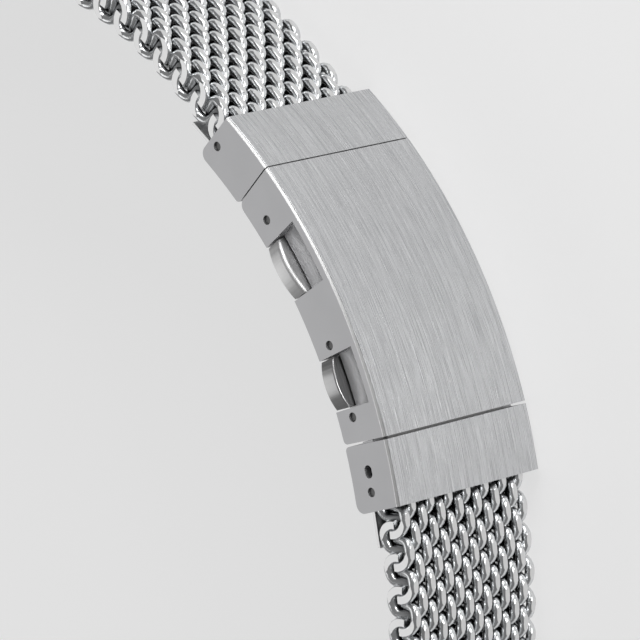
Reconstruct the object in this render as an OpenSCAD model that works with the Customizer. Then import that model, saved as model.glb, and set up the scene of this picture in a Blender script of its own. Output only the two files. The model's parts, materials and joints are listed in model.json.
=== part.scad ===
// Mesh watch band with a folding clasp, a ratchet extension and spring bar ends.
// The band lies on its side: Z runs across its width, +X points from the middle
// of the clasp towards the head block, and +Y points towards the wrist.
// Places on the clasp are given as an arc length s along its outer face, from the
// middle of the cover towards the head block, and a depth below that face.

/* [Clasp] */
// Radius of the clasp's outer face
arc_r = 62; // [55:1:75]
// Width of the clasp across the band
clasp_w = 22; // [21.6:0.1:24]
// Depth of the clasp from its outer face to its inner edge
clasp_t = 6.2; // [6.1:0.05:6.8]
// Length of the cover along its outer face
cover_len = 31.8; // [31:0.1:34]
// Length of the head block along its outer face
head_len = 7.35; // [7.2:0.05:9]
// Length of the tail block along its outer face
tail_len = 7.2; // [7.1:0.05:9]
// Seam between the cover and the head block
head_seam = 0.15; // [0.1:0.01:0.3]
// Seam between the cover and the tail block
tail_seam = 0.3; // [0.25:0.01:0.4]
// How far the blocks' mesh side leans out at the inner edge
block_lean = 0.9; // [0.4:0.1:1.2]
// Radius of the blocks' inner corners
corner_r = 1; // [0.5:0.1:1.3]
// Width of the polished bevel along the long edges
bevel = 0.25; // [0.1:0.05:0.4]
// Thickness of the cover's side walls
wall = 1.8; // [1.6:0.05:1.9]
// Thickness of the cover's top plate
plate_t = 1.5; // [1.3:0.05:1.55]

/* [Pins] */
// Radius of the clasp's pins
pin_r = 0.5; // [0.4:0.05:0.52]
// Radial play of a pin in a part that turns on it
pin_play = 0.04; // [0.02:0.01:0.08]
// Depth of a pin's end below the side face
pin_sink = 0.25; // [0.1:0.05:0.5]
// Place of the cover's hinge pin along the cover
hinge_s = 11.85; // [11.4:0.05:12.6]
// Place of the pins that hold the latch springs
latch_pin_s = -4.5; // [-4.6:0.05:-4.3]
// Place of the pins that hold the ratchet springs
ratchet_pin_s = -13.02; // [-13.4:0.02:-12.9]
// Depth of the spring pins
spring_pin_depth = 3.98; // [3.95:0.01:4.05]
// Distance of the mesh pin from the head block's outer end
head_mesh_pin_in = 0.75; // [0.7:0.05:1]
// Distance of the mesh pin from the tail block's outer end
tail_mesh_pin_in = 1.7; // [1.5:0.05:1.8]
// Depth of the mesh pins
mesh_pin_depth = 3.67; // [3.6:0.01:3.75]

/* [Blades] */
// Thickness of the middle blade
middle_t = 1.1; // [0.9:0.05:1.15]
// Width of the middle blade
middle_w = 9.6; // [9:0.1:9.8]
// Width of the base blade
base_w = 12; // [11:0.1:12]
// Place of the hinge between the two blades
fold_s = -11; // [-11.1:0.05:-10.8]
// Depth of the hinge between the two blades
fold_depth = 4.95; // [4.9:0.01:5]
// Wall of the knuckles round their pins
knuckle_wall = 0.41; // [0.38:0.01:0.42]
// Gap between one blade and the next
blade_gap = 0.5; // [0.45:0.01:0.55]

/* [Pushers] */
// Length of the latch pushers along the clasp
latch_len = 6.95; // [6.5:0.05:7]
// Place of the middle of the latch pushers
latch_s = 5.8; // [5.7:0.05:5.9]
// Length of the ratchet pushers along the clasp
ratchet_len = 5.9; // [5.5:0.05:5.95]
// Place of the middle of the ratchet pushers
ratchet_s = -8.8; // [-8.85:0.05:-8.75]
// How far a pusher's crown stands proud of the side face
pusher_proud = 0.5; // [0.1:0.05:0.6]
// Rise of a pusher's crown over its length
crown_rise = 0.85; // [0.6:0.05:1.1]
// Travel of a pusher when it is pressed
pusher_travel = 1.2; // [1:0.05:1.25]
// Depth of a pusher's upper edge below the outer face
pusher_depth = 4.3; // [4.1:0.05:4.5]
// Play of a pusher in its pocket
pusher_play = 0.2; // [0.05:0.05:0.3]
// Radius of the scoop above each pusher
scoop_r = 5.4; // [4.8:0.2:6]
// Depth of the scoop in the side face
scoop_in = 1.1; // [0.8:0.05:1.2]

/* [Ratchet] */
// Thickness of the tongue
tongue_t = 1.55; // [1.4:0.05:1.6]
// Play of the tongue under the top plate and beside the walls
tongue_play = 0.15; // [0.1:0.01:0.16]
// Distance from one ratchet step to the next
step = 1.16; // [1.1:0.02:1.2]
// Number of ratchet steps
steps = 6; // [4:1:6]
// Height of the ratchet teeth
tooth_h = 0.5; // [0.35:0.05:0.55]

/* [Mesh] */
// Width of the mesh
mesh_w = 19; // [18:0.1:19.2]
// Thickness of the mesh
mesh_t = 4.1; // [3.8:0.05:4.15]
// Distance from one row of the mesh to the next
row_pitch = 1.75; // [1.7:0.01:1.9]
// Length of a row at its middle
row_len = 1.6; // [1.5:0.01:1.62]
// Length of a row's flat face
row_flat = 0.84; // [0.7:0.02:0.9]
// Number of rows in one piece of the mesh
piece_rows = 5; // [5:1:6]
// Length of the thin plate behind the mesh, past the block
backing_out = 4.7; // [3:0.1:5]
// Thickness of the thin plate behind the mesh
backing_t = 0.35; // [0.25:0.05:0.35]

/* [Ends] */
// Distance from the last row to the spring bar
bar_out = 3.35; // [3.3:0.05:4]
// Radius of the spring bar's tube
bar_r = 0.9; // [0.8:0.05:0.95]
// Radius of the spring bar's tips
tip_r = 0.4; // [0.35:0.05:0.45]
// Travel of a tip into its tube
tip_travel = 1.2; // [0.8:0.1:1.3]
// How far a pressed tip still stands out of the end bar
tip_left = 0.2; // [0.1:0.05:0.3]

/* [Hidden] */
$fn = 64;
ARC_FN = 240;
fixed_play = 0.02;    // round a pin in the parts that hold it
flex_gap = 0.05;      // between pieces that only touch when they work
cut = 1;              // overrun of a cut past the face that it opens
join = 0.15;          // overlap of two shapes that make one piece

// Depths of the layers inside the cover
tongue_top = plate_t + tongue_play;
tongue_bottom = tongue_top + tongue_t;
middle_top = tongue_bottom + 0.35;
middle_bottom = middle_top + middle_t;
base_top = middle_bottom + blade_gap;
base_bottom = clasp_t - 0.1;
hinge_depth = (middle_top + middle_bottom) / 2;

// Ends of the three pieces of the outer face
cover_half = cover_len / 2;
head_in = cover_half + head_seam;
head_out = head_in + head_len;
tail_in = -cover_half - tail_seam;
tail_out = tail_in - tail_len;
head_pin_s = head_out - head_mesh_pin_in;
tail_pin_s = tail_out + tail_mesh_pin_in;

// Heights across the width
mid_z = clasp_w / 2;
tongue_w = clasp_w - 2 * wall - 4 * tongue_play + 0.2;
mesh_z = (clasp_w - mesh_w) / 2;
mouth_side = 0.2;
knuckle_r = pin_r + knuckle_wall;
knuckle_w = 4.8;
knuckle_in = pin_r + 0.06;   // from a knuckle's axis to the plate's end, inside its wall
knuckle_web = pin_r + 0.1;   // from a knuckle's axis to the far side of its web
knuckle_step = 0.1;          // between the end faces of a knuckle and its web
ear_gap = 0.2;

// Pushers, measured up from the middle of the width
flange_t = 0.85;
flange_z = clasp_w / 2 - wall - flex_gap;
flange_over = 0.6;
flange_bottom = clasp_t - 0.3;
block_bottom = 4.8;
under_tongue = tongue_bottom + 0.1;
spring_t = 0.25;
blade_side = 0.1;
spring_z = base_w / 2 + blade_side;
block_z = spring_z + spring_t + flex_gap;
spring_top = under_tongue;
spring_bottom = 4.6;
spring_eye_r = 0.72;
spring_head_r = 0.72;
spring_head_t = 0.55;

// Latch arms and the post that they hold
post_s = latch_s + 0.1;
post_len = 1.4;
post_t = 1.2;
post_head_w = 2.8;
post_head_t = 0.6;
post_top = 1.75;
post_foot_t = 0.25;
arm_top = post_top + post_head_t + 0.1;
arm_t = 0.6;
arm_len = 1.4;
arm_out = 0.9;
toe_w = 1.2;
toe_gap = 0.2;
window_s0 = post_s - 1.6;
window_s1 = post_s + 2.4;
window_w = 4.2;

// Ratchet tongue and pawls
latch_room = 2.5;
tongue_end = latch_s - latch_room;
travel = step * steps;
pawl_s = ratchet_s + 0.15;
pawl_len = 0.55;
tooth_len = 0.42;
rim = 0.9;
rack_z = tongue_w / 2 - rim;
pawl_z = rack_z - 0.15;
slot_z0 = block_z - pusher_travel - 0.4;
heel_len = 1.4;
heel_bottom = 4.5;
tongue_in_block = 3.9;
tongue_pin_s = tail_in - tongue_in_block + heel_len / 2 + 0.03;
tongue_pin_depth = 3.54;
tongue_pin_grip = 1.1;
oval_len = 0.4;

// Blocks and what they hold
blade_in_block = 4.6;
rivet_s = head_in + 2.3;
rivet_r = 0.6;
rivet_in = 1.8;
rivet_z = 3;
mouth_top = 0.75;
backing_bottom = 5.8;
mouth_in = 0.92;
backing_in = 1.8;
backing_side = 0.3;

// Mesh rows: bend from one row to the next in each piece, and the first row's slope
piece_count = 7;
head_bend_angles = [0.6, 1.7, 1.9, 2, 1.9, 2.4, 3.2];
tail_bend_angles = [0.8, 1.9, 2.2, 2, 1.9, 2.4, 3.2];
head_angle = 17;
tail_angle = 20;
mesh_pin_drop = 0.6;
last_row = piece_count * piece_rows - 1;

// End bars and spring bars
end_pin_r = 0.4;
jaw_t = 0.45;
jaw_out = 0.55;
channel_in = 1.75;
channel_side = 0.8;
last_row_side = channel_side + 0.1;
last_row_t = mesh_t - 2 * jaw_t - 0.2;
last_row_len = 1.2;
bar_play = 0.05;
tube_in = 0.1;
tube_lip = 0.5;
tip_out = tip_travel + tip_left;
shank_step = 0.18;
shank_r = tip_r + shank_step;
shank_play = 0.03;
tube_bore_r = shank_r + 0.12;
shank_len = 3;
collar_len = 0.6;
collar_r = tube_bore_r - 0.03;
spring_wall = 0.2;

// Slope of the outer face at s, in degrees
function slope(s) = s / arc_r * 180 / PI;
// Point at arc length s and depth d, in the plane of the side face
function at(s, d) = let (r = arc_r - d, a = slope(s)) [r * sin(a), arc_r - r * cos(a)];
function unit(v) = v / norm(v);

// Mesh rows on one side, from the pin outwards
function bend_to(i, bends) = i <= 0 ? 0 : bends[floor((i - 1) / piece_rows)] + bend_to(i - 1, bends);
function row_slope(i, first, bends) = first + bend_to(i, bends);
function row_at(i, start, first, bends) = i == 0 ? start
    : let (a = (row_slope(i, first, bends) + row_slope(i - 1, first, bends)) / 2)
      row_at(i - 1, start, first, bends) + row_pitch * [cos(a), sin(a)];
function outward(a) = [sin(a), -cos(a)];
function strap_start(s, first) = at(s, mesh_pin_depth) + mesh_pin_drop * outward(first);
function strap_rows(s, first, bends) = [for (i = [0:last_row])
    let (p = row_at(i, strap_start(s, first), first, bends), a = row_slope(i, first, bends)) [p.x, p.y, a]];
function bar_centre(rows) = let (r = rows[last_row]) [r.x + bar_out * cos(r.z), r.y + bar_out * sin(r.z)];
function reach_x(rows) = max([for (r = rows) r.x + mesh_t / 2 * sin(r.z)]);
function reach_y(rows) = max(bar_centre(rows).y + mesh_t / 2, max([for (r = rows) r.y - mesh_t / 2 * cos(r.z)]));

head_rows = strap_rows(head_pin_s, head_angle, head_bend_angles);
tail_rows = strap_rows(-tail_pin_s, tail_angle, tail_bend_angles);
mid_x = (reach_x(head_rows) - reach_x(tail_rows)) / 2;
mid_y = max(reach_y(head_rows), reach_y(tail_rows)) / 2;
floor_z = -pusher_proud;

// Moves a piece from the clasp's own axes to the band's origin
module place() {
    translate([-mid_x, -mid_y, -floor_z]) children();
}

// A second copy on the other side face
module other_side() {
    translate([0, 0, clasp_w]) mirror([0, 0, 1]) children();
}

module both_sides() {
    children();
    other_side() children();
}

// Sweeps a section of radius and height along the clasp's arc
module arc_sweep(s0, s1) {
    translate([0, arc_r, 0])
        rotate([0, 0, slope(s0) - 90])
            rotate_extrude(angle = slope(s1) - slope(s0), $fn = ARC_FN)
                children();
}

module arc_box(s0, s1, d0, d1, z0, z1) {
    arc_sweep(s0, s1)
        translate([arc_r - d1, z0]) square([d1 - d0, z1 - z0]);
}

// A round pin or hole across the width
module cross_pin(s, d, r, z0, z1) {
    translate([at(s, d).x, at(s, d).y, z0]) cylinder(r = r, h = z1 - z0);
}

// A round pin or hole through the thickness
module radial_pin(s, z, r, d0, d1) {
    translate([at(s, d0).x, at(s, d0).y, z])
        rotate([0, 0, slope(s)]) rotate([-90, 0, 0]) cylinder(r = r, h = d1 - d0);
}

// What a rounded corner at p takes away, between edges that leave p along u and v
module corner_cut(p, u, v, r) {
    half = acos(unit(u) * unit(v)) / 2;
    run = r / tan(half);
    c = p + unit(unit(u) + unit(v)) * r / sin(half);
    out = 0.2;
    translate([0, 0, -cut]) linear_extrude(clasp_w + 2 * cut) difference() {
        polygon([p - out * unit(unit(u) + unit(v)), p + run * unit(u) - out * unit(v), c,
                 p + run * unit(v) - out * unit(u)]);
        translate(c) circle(r = r);
    }
}

// What lies past a leaning end face, which runs from s0 outside to s1 inside
module end_cut(s0, s1) {
    dir = unit(at(s1, clasp_t) - at(s0, 0));
    p0 = at(s0, 0) - 2 * cut * dir;
    p1 = at(s0, 0) + (clasp_t + 3 * cut) * dir;
    far = clasp_t;
    translate([0, 0, -cut]) linear_extrude(clasp_w + 2 * cut)
        polygon([p0, p1, p1 + [far, 0], p0 + [far, 0]]);
}

// Section of a full block, with bevelled long edges
module block_section() {
    polygon([[arc_r - clasp_t, 0], [arc_r - bevel, 0], [arc_r, bevel],
             [arc_r, clasp_w - bevel], [arc_r - bevel, clasp_w], [arc_r - clasp_t, clasp_w]]);
}

// Section of the cover: a top plate between two walls
module cover_section() {
    difference() {
        block_section();
        translate([arc_r - clasp_t - cut, wall])
            square([clasp_t - plate_t + cut, clasp_w - 2 * wall]);
    }
}

// Pocket and scoop for one pusher in the upper wall
module pusher_opening(s, len) {
    arc_box(s - len / 2 - pusher_play, s + len / 2 + pusher_play,
            pusher_depth - pusher_play, clasp_t + cut, clasp_w - wall - cut, clasp_w + cut);
    intersection() {
        arc_box(s - len / 2 - pusher_play, s + len / 2 + pusher_play,
                0.3, pusher_depth + 0.01, clasp_w - wall, clasp_w + cut);
        translate([0, arc_r, clasp_w + scoop_r - scoop_in]) rotate([0, 0, slope(s - len) - 90])
            rotate_extrude(angle = slope(2 * len), $fn = ARC_FN)
                translate([arc_r - pusher_depth, 0]) circle(r = scoop_r);
    }
}

module cover() {
    inner = at(cover_half, clasp_t);
    color("gainsboro") place() difference() {
        arc_sweep(-cover_half, cover_half) cover_section();
        both_sides() pusher_opening(latch_s, latch_len);
        both_sides() pusher_opening(ratchet_s, ratchet_len);
        cross_pin(hinge_s, hinge_depth, pin_r + fixed_play, -cut, clasp_w + cut);
        cross_pin(latch_pin_s, spring_pin_depth, pin_r + fixed_play, -cut, clasp_w + cut);
        cross_pin(ratchet_pin_s, spring_pin_depth, pin_r + fixed_play, -cut, clasp_w + cut);
        corner_cut(inner, [-cos(slope(cover_half)), -sin(slope(cover_half))],
                   [sin(slope(cover_half)), -cos(slope(cover_half))], corner_r);
        corner_cut([-inner.x, inner.y], [cos(slope(cover_half)), -sin(slope(cover_half))],
                   [-sin(slope(cover_half)), -cos(slope(cover_half))], corner_r / 2);
    }
}

module hinge_pin() {
    color("silver") place()
        cross_pin(hinge_s, hinge_depth, pin_r, pin_sink, clasp_w - pin_sink);
}

// A short headed pin on each side, which carries a leaf spring's eye
module spring_pins(s) {
    color("silver") place() both_sides() {
        cross_pin(s, spring_pin_depth, pin_r, mid_z + spring_z - spring_head_t / 2, clasp_w - pin_sink);
        cross_pin(s, spring_pin_depth, spring_head_r,
                  mid_z + spring_z - flex_gap - spring_head_t, mid_z + spring_z - flex_gap);
    }
}

// A flat strip with an eye on its pin, which presses a pusher outwards
module leaf_spring(pin_s, end_s) {
    z = mid_z + spring_z;
    color("slategray") difference() {
        union() {
            arc_box(min(pin_s, end_s), max(pin_s, end_s), spring_top, spring_bottom, z, z + spring_t);
            cross_pin(pin_s, spring_pin_depth, spring_eye_r, z, z + spring_t);
        }
        cross_pin(pin_s, spring_pin_depth, pin_r + fixed_play, z - cut, z + cut);
    }
}

module latch_spring() {
    leaf_spring(latch_pin_s, latch_s - 0.8);
}

module ratchet_spring() {
    leaf_spring(ratchet_pin_s, ratchet_s + 0.8);
}

// Crowned tab, the flange that keeps it in its pocket, and the block behind it
module pusher_body(s, len, block_s0, block_s1, block_top) {
    crown_r = (pow(len / 2, 2) + pow(crown_rise, 2)) / (2 * crown_rise);
    top = clasp_w + pusher_proud;
    intersection() {
        arc_box(s - len / 2, s + len / 2, pusher_depth, clasp_t - flex_gap,
                mid_z + flange_z - flange_t / 2, top + cut);
        translate([at(s, 0).x, at(s, 0).y, top - crown_r])
            rotate([0, 0, slope(s)]) rotate([-90, 0, 0]) cylinder(r = crown_r, h = clasp_t + 2);
    }
    arc_box(s - len / 2 - flange_over, s + len / 2 + flange_over, under_tongue, flange_bottom,
            mid_z + flange_z - flange_t, mid_z + flange_z);
    arc_box(block_s0, block_s1, block_top, block_bottom, mid_z + block_z, mid_z + flange_z - flange_t / 2);
}

// Latch pusher: its arm passes beside the post and its toe holds the far lip
module latch_pusher(way) {
    a0 = post_s + way * arm_out;
    a1 = post_s + way * (arm_out + arm_len);
    toe0 = post_s + way * flex_gap;
    z0 = mid_z - post_t / 2 - toe_gap - toe_w;
    color("lightgray") {
        pusher_body(latch_s, latch_len, post_s - 2.4, post_s + 2.4, arm_top - join);
        difference() {
            arc_box(min(toe0, a1), max(toe0, a1), arm_top, arm_top + arm_t, z0, mid_z + block_z + join);
            arc_box(min(toe0, a0) - (way > 0 ? cut : 0), max(toe0, a0) + (way > 0 ? 0 : cut),
                    arm_top - cut, arm_top + arm_t + cut, z0 + toe_w, clasp_w);
        }
    }
}

// Ratchet pusher: its pawl stands in the tongue's slot, between two teeth
module ratchet_pusher() {
    color("lightgray") {
        pusher_body(ratchet_s, ratchet_len, ratchet_s - 1.1, ratchet_s + 1.4, under_tongue);
        arc_box(pawl_s - pawl_len / 2, pawl_s + pawl_len / 2, tongue_top + 0.25, under_tongue + flex_gap,
                mid_z + block_z + 0.1, mid_z + pawl_z);
    }
}

module middle_blade() {
    z0 = mid_z - middle_w / 2;
    k0 = mid_z - knuckle_w / 2;
    plate_end = fold_s + knuckle_r + ear_gap;
    color("silver") place() difference() {
        union() {
            arc_box(plate_end, hinge_s - knuckle_in, middle_top, middle_bottom, z0, z0 + middle_w);
            arc_box(fold_s + knuckle_in, plate_end + join, fold_depth - knuckle_web, middle_bottom,
                    k0 + knuckle_step, k0 + knuckle_w - knuckle_step);
            cross_pin(hinge_s, hinge_depth, knuckle_r, z0 + knuckle_step, z0 + middle_w - knuckle_step);
            cross_pin(fold_s, fold_depth, knuckle_r, k0, k0 + knuckle_w);
        }
        cross_pin(hinge_s, hinge_depth, pin_r + pin_play, -cut, clasp_w + cut);
        cross_pin(fold_s, fold_depth, pin_r + pin_play, -cut, clasp_w + cut);
        arc_box(window_s0, window_s1, middle_top - cut, middle_bottom + cut,
                mid_z - window_w / 2, mid_z + window_w / 2);
    }
}

module base_blade() {
    z0 = mid_z - base_w / 2;
    ear_z = mid_z + knuckle_w / 2 + ear_gap;
    plate_end = fold_s + knuckle_r + ear_gap;
    color("silver") place() difference() {
        union() {
            arc_box(plate_end, head_in + blade_in_block, base_top, base_bottom, z0, z0 + base_w);
            both_sides() {
                arc_box(fold_s + knuckle_in, plate_end + join, base_top, fold_depth + knuckle_web,
                        ear_z + knuckle_step, z0 + base_w);
                cross_pin(fold_s, fold_depth, knuckle_r, ear_z, z0 + base_w - knuckle_step);
            }
        }
        cross_pin(fold_s, fold_depth, pin_r + fixed_play, -cut, clasp_w + cut);
        both_sides() radial_pin(rivet_s, mid_z + rivet_z, rivet_r + fixed_play, base_top - cut, clasp_t + cut);
    }
}

module fold_pin() {
    color("silver") place()
        cross_pin(fold_s, fold_depth, pin_r, mid_z - base_w / 2 + 0.1, mid_z + base_w / 2 - 0.1);
}

module blade_rivets() {
    color("silver") place() both_sides()
        radial_pin(rivet_s, mid_z + rivet_z, rivet_r, base_top - rivet_in, base_bottom);
}

// Headed post on the base blade, which stands up through the middle blade's window
module catch_post() {
    s0 = post_s - post_len / 2;
    s1 = post_s + post_len / 2;
    color("silver") place() {
        arc_box(s0, s1, post_top, base_top, mid_z - post_t / 2, mid_z + post_t / 2);
        arc_box(s0, s1, post_top, post_top + post_head_t, mid_z - post_head_w / 2, mid_z + post_head_w / 2);
        arc_box(s0 - 0.3, s1 + 0.3, base_top - post_foot_t, base_top,
                mid_z - post_t / 2 - 0.5, mid_z + post_t / 2 + 0.5);
    }
}

// A block from its seam to its leaning mesh side, drawn on the head side
module block_shape(s_in, s_out) {
    b = at(s_out + block_lean, clasp_t);
    back = unit(at(s_out, 0) - b);
    difference() {
        arc_sweep(s_in, s_out + block_lean + 0.5) block_section();
        end_cut(s_out, s_out + block_lean);
        corner_cut(b, [-cos(slope(s_out + block_lean)), -sin(slope(s_out + block_lean))], back, corner_r);
        corner_cut(at(s_in, clasp_t), [cos(slope(s_in)), sin(slope(s_in))],
                   [sin(slope(s_in)), -cos(slope(s_in))], corner_r / 2);
    }
}

// The mouth that takes the first row of the mesh and the thin plate behind it
module mesh_mouth(pin_s, s_out) {
    arc_box(pin_s - mouth_in - row_flat / 2, s_out + 3 * cut, mouth_top, backing_bottom,
            mesh_z - mouth_side, clasp_w - mesh_z + mouth_side);
}

module block_pin(s) {
    cross_pin(s, mesh_pin_depth, pin_r, pin_sink, clasp_w - pin_sink);
}

// A flat plate that leaves the block's mouth along its tangent
module backing_plate(s_out) {
    p = at(s_out, backing_bottom);
    translate([p.x, p.y, mesh_z + backing_side]) rotate([0, 0, slope(s_out)])
        translate([-backing_in, -backing_t, 0])
            cube([backing_in + backing_out, backing_t, mesh_w - 2 * backing_side]);
}

module head_block() {
    z0 = mid_z - base_w / 2;
    color("gainsboro") place() difference() {
        block_shape(head_in, head_out);
        mesh_mouth(head_pin_s, head_out);
        cross_pin(head_pin_s, mesh_pin_depth, pin_r + fixed_play, -cut, clasp_w + cut);
        arc_box(head_in - cut, head_in + blade_in_block + flex_gap, base_top, clasp_t + cut,
                z0 - flex_gap, z0 + base_w + flex_gap);
        both_sides() radial_pin(rivet_s, mid_z + rivet_z, rivet_r + fixed_play,
                                base_top - rivet_in, clasp_t + cut);
    }
}

module head_mesh_pin() {
    color("silver") place() block_pin(head_pin_s);
}

module head_backing_plate() {
    color("silver") place() backing_plate(head_out);
}

module tail_block() {
    tongue_z = mid_z - tongue_w / 2;
    slot_end = tail_in - tongue_in_block - flex_gap;
    color("gainsboro") place() difference() {
        union() {
            mirror([1, 0, 0]) block_shape(-tail_in, -tail_out);
            arc_box(tail_in - 0.2, tail_in + tail_seam * 0.8, tongue_top + 0.55, tongue_bottom + 0.5,
                    bevel, clasp_w - bevel);
        }
        mirror([1, 0, 0]) mesh_mouth(-tail_pin_s, -tail_out);
        cross_pin(tail_pin_s, mesh_pin_depth, pin_r + fixed_play, -cut, clasp_w + cut);
        arc_box(slot_end, tail_in + tail_seam + cut, tongue_top, tongue_bottom, tongue_z, tongue_z + tongue_w);
        arc_box(slot_end, tail_in - tongue_in_block + heel_len, tongue_top, heel_bottom,
                tongue_z, tongue_z + tongue_w);
        for (way = [-1, 1])
            cross_pin(tongue_pin_s + way * oval_len / 2, tongue_pin_depth, pin_r + fixed_play,
                      -cut, clasp_w + cut);
        arc_box(tongue_pin_s - oval_len / 2, tongue_pin_s + oval_len / 2, tongue_pin_depth - pin_r,
                tongue_pin_depth + pin_r, -cut, clasp_w + cut);
    }
}

module tongue_pin() {
    color("silver") place()
        cross_pin(tongue_pin_s, tongue_pin_depth, pin_r, mid_z - tongue_w / 2 - tongue_pin_grip,
                  mid_z + tongue_w / 2 + tongue_pin_grip);
}

module tail_mesh_pin() {
    color("silver") place() block_pin(tail_pin_s);
}

module tail_backing_plate() {
    color("silver") place() mirror([1, 0, 0]) backing_plate(-tail_out);
}

// One slot of the tongue, with teeth along its outer edge
module rack_slot() {
    difference() {
        arc_box(pawl_s - step * 0.7, pawl_s + travel + step * 0.7, tongue_top - cut, tongue_bottom + cut,
                mid_z + slot_z0, mid_z + rack_z);
        for (k = [0:steps - 1])
            arc_box(pawl_s + (k + 0.5) * step - tooth_len / 2, pawl_s + (k + 0.5) * step + tooth_len / 2,
                    tongue_top - 2 * cut, tongue_bottom + 2 * cut,
                    mid_z + rack_z - tooth_h, mid_z + rack_z + cut);
    }
}

module ratchet_tongue() {
    z0 = mid_z - tongue_w / 2;
    heel_s = tail_in - tongue_in_block;
    color("silver") place() difference() {
        union() {
            arc_box(heel_s, tongue_end, tongue_top, tongue_bottom, z0, z0 + tongue_w);
            arc_box(heel_s, heel_s + heel_len - flex_gap, tongue_top, heel_bottom, z0, z0 + tongue_w);
        }
        both_sides() rack_slot();
        cross_pin(tongue_pin_s, tongue_pin_depth, pin_r + fixed_play, -cut, clasp_w + cut);
    }
}

// Section of one mesh row: flat faces and bulged flanks
module row_section(len, flat, t) {
    bulge = (len - flat) / 2;
    flank_r = (pow(t / 2, 2) + pow(bulge, 2)) / (2 * bulge);
    intersection() {
        square([len, t], center = true);
        translate([flank_r - len / 2, 0]) circle(r = flank_r, $fn = ARC_FN);
        translate([len / 2 - flank_r, 0]) circle(r = flank_r, $fn = ARC_FN);
    }
}

module mesh_row(i, r) {
    ends = i == last_row;
    side = mesh_z + (ends ? last_row_side : 0);
    translate([r.x, r.y, side]) rotate([0, 0, r.z]) difference() {
        linear_extrude(clasp_w - 2 * side) {
            if (ends) row_section(last_row_len, last_row_len / 2, last_row_t);
            else row_section(row_len, row_flat, mesh_t);
        }
        if (i == 0)
            translate([0, mesh_pin_drop, -cut]) cylinder(r = pin_r + pin_play, h = clasp_w + cut);
        if (ends)
            translate([0, 0, -cut]) cylinder(r = end_pin_r + pin_play, h = clasp_w + cut);
    }
}

// The rows of piece k, counted from 1 at the block
module mesh_piece(k, rows) {
    for (i = [(k - 1) * piece_rows : k * piece_rows - 1]) mesh_row(i, rows[i]);
}

module head_mesh(k) {
    color(k % 2 == 0 ? "darkgray" : "lightgray") place() mesh_piece(k, head_rows);
}

module tail_mesh(k) {
    color(k % 2 == 0 ? "darkgray" : "lightgray") place() mirror([1, 0, 0]) mesh_piece(k, tail_rows);
}

// Pieces at the end of a strap, drawn in the axes of its last row
module at_end(rows) {
    r = rows[last_row];
    translate([r.x, r.y, 0]) rotate([0, 0, r.z]) children();
}

module end_bar() {
    z0 = mesh_z;
    difference() {
        translate([0, 0, z0]) linear_extrude(mesh_w) {
            translate([-jaw_out, -mesh_t / 2]) square([jaw_out + bar_out, mesh_t]);
            translate([bar_out, 0]) circle(r = mesh_t / 2);
        }
        translate([-jaw_out - cut, -mesh_t / 2 + jaw_t, z0 + channel_side])
            cube([jaw_out + cut + channel_in, mesh_t - 2 * jaw_t, mesh_w - 2 * channel_side]);
        translate([0, 0, z0 - cut]) cylinder(r = end_pin_r + fixed_play, h = mesh_w + 2 * cut);
        translate([bar_out, 0, z0 - cut]) cylinder(r = bar_r + bar_play, h = mesh_w + 2 * cut);
    }
}

module end_pin() {
    translate([0, 0, mesh_z + 0.1]) cylinder(r = end_pin_r, h = mesh_w - 0.2);
}

module bar_tube() {
    z0 = mesh_z + tube_in;
    h = mesh_w - 2 * tube_in;
    translate([bar_out, 0, 0]) difference() {
        translate([0, 0, z0]) cylinder(r = bar_r, h = h);
        translate([0, 0, z0 + tube_lip]) cylinder(r = tube_bore_r, h = h - 2 * tube_lip);
        translate([0, 0, z0 - cut]) cylinder(r = shank_r + shank_play, h = h + 2 * cut);
    }
}

// Upper tip: a collar inside the tube, a shank through its lip and a thinner nose
module bar_tip() {
    top = clasp_w - mesh_z;
    collar_top = top - tube_in - tube_lip - flex_gap;
    translate([bar_out, 0, 0]) {
        translate([0, 0, collar_top - shank_len]) cylinder(r = shank_r, h = top - collar_top + shank_len);
        translate([0, 0, collar_top - collar_len]) cylinder(r = collar_r, h = collar_len);
        translate([0, 0, top]) cylinder(r = tip_r, h = tip_out);
    }
}

module bar_spring() {
    half = mesh_w / 2 - tube_in - tube_lip - shank_len - 2 * flex_gap;
    translate([bar_out, 0, mid_z - half]) difference() {
        cylinder(r = shank_r, h = 2 * half);
        translate([0, 0, -cut]) cylinder(r = shank_r - spring_wall, h = 2 * half + 2 * cut);
    }
}

module on_head() {
    color("silver") place() at_end(head_rows) children();
}

module on_tail() {
    color("silver") place() mirror([1, 0, 0]) at_end(tail_rows) children();
}

cover();
hinge_pin();
spring_pins(latch_pin_s);  // latch_spring_pins
spring_pins(ratchet_pin_s);  // ratchet_spring_pins
place() latch_spring();  // latch_spring_top
place() other_side() latch_spring();  // latch_spring_bottom
place() ratchet_spring();  // ratchet_spring_top
place() other_side() ratchet_spring();  // ratchet_spring_bottom
place() latch_pusher(-1);  // latch_pusher_top
place() other_side() latch_pusher(1);  // latch_pusher_bottom
place() ratchet_pusher();  // ratchet_pusher_top
place() other_side() ratchet_pusher();  // ratchet_pusher_bottom
middle_blade();
base_blade();
fold_pin();
catch_post();
blade_rivets();
head_block();
head_mesh_pin();
head_backing_plate();
tail_block();
ratchet_tongue();
tongue_pin();
tail_mesh_pin();
tail_backing_plate();
head_mesh(1);  // head_mesh_1
head_mesh(2);  // head_mesh_2
head_mesh(3);  // head_mesh_3
head_mesh(4);  // head_mesh_4
head_mesh(5);  // head_mesh_5
head_mesh(6);  // head_mesh_6
head_mesh(7);  // head_mesh_7
tail_mesh(1);  // tail_mesh_1
tail_mesh(2);  // tail_mesh_2
tail_mesh(3);  // tail_mesh_3
tail_mesh(4);  // tail_mesh_4
tail_mesh(5);  // tail_mesh_5
tail_mesh(6);  // tail_mesh_6
tail_mesh(7);  // tail_mesh_7
on_head() end_bar();  // head_end_bar
on_head() end_pin();  // head_end_pin
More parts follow.
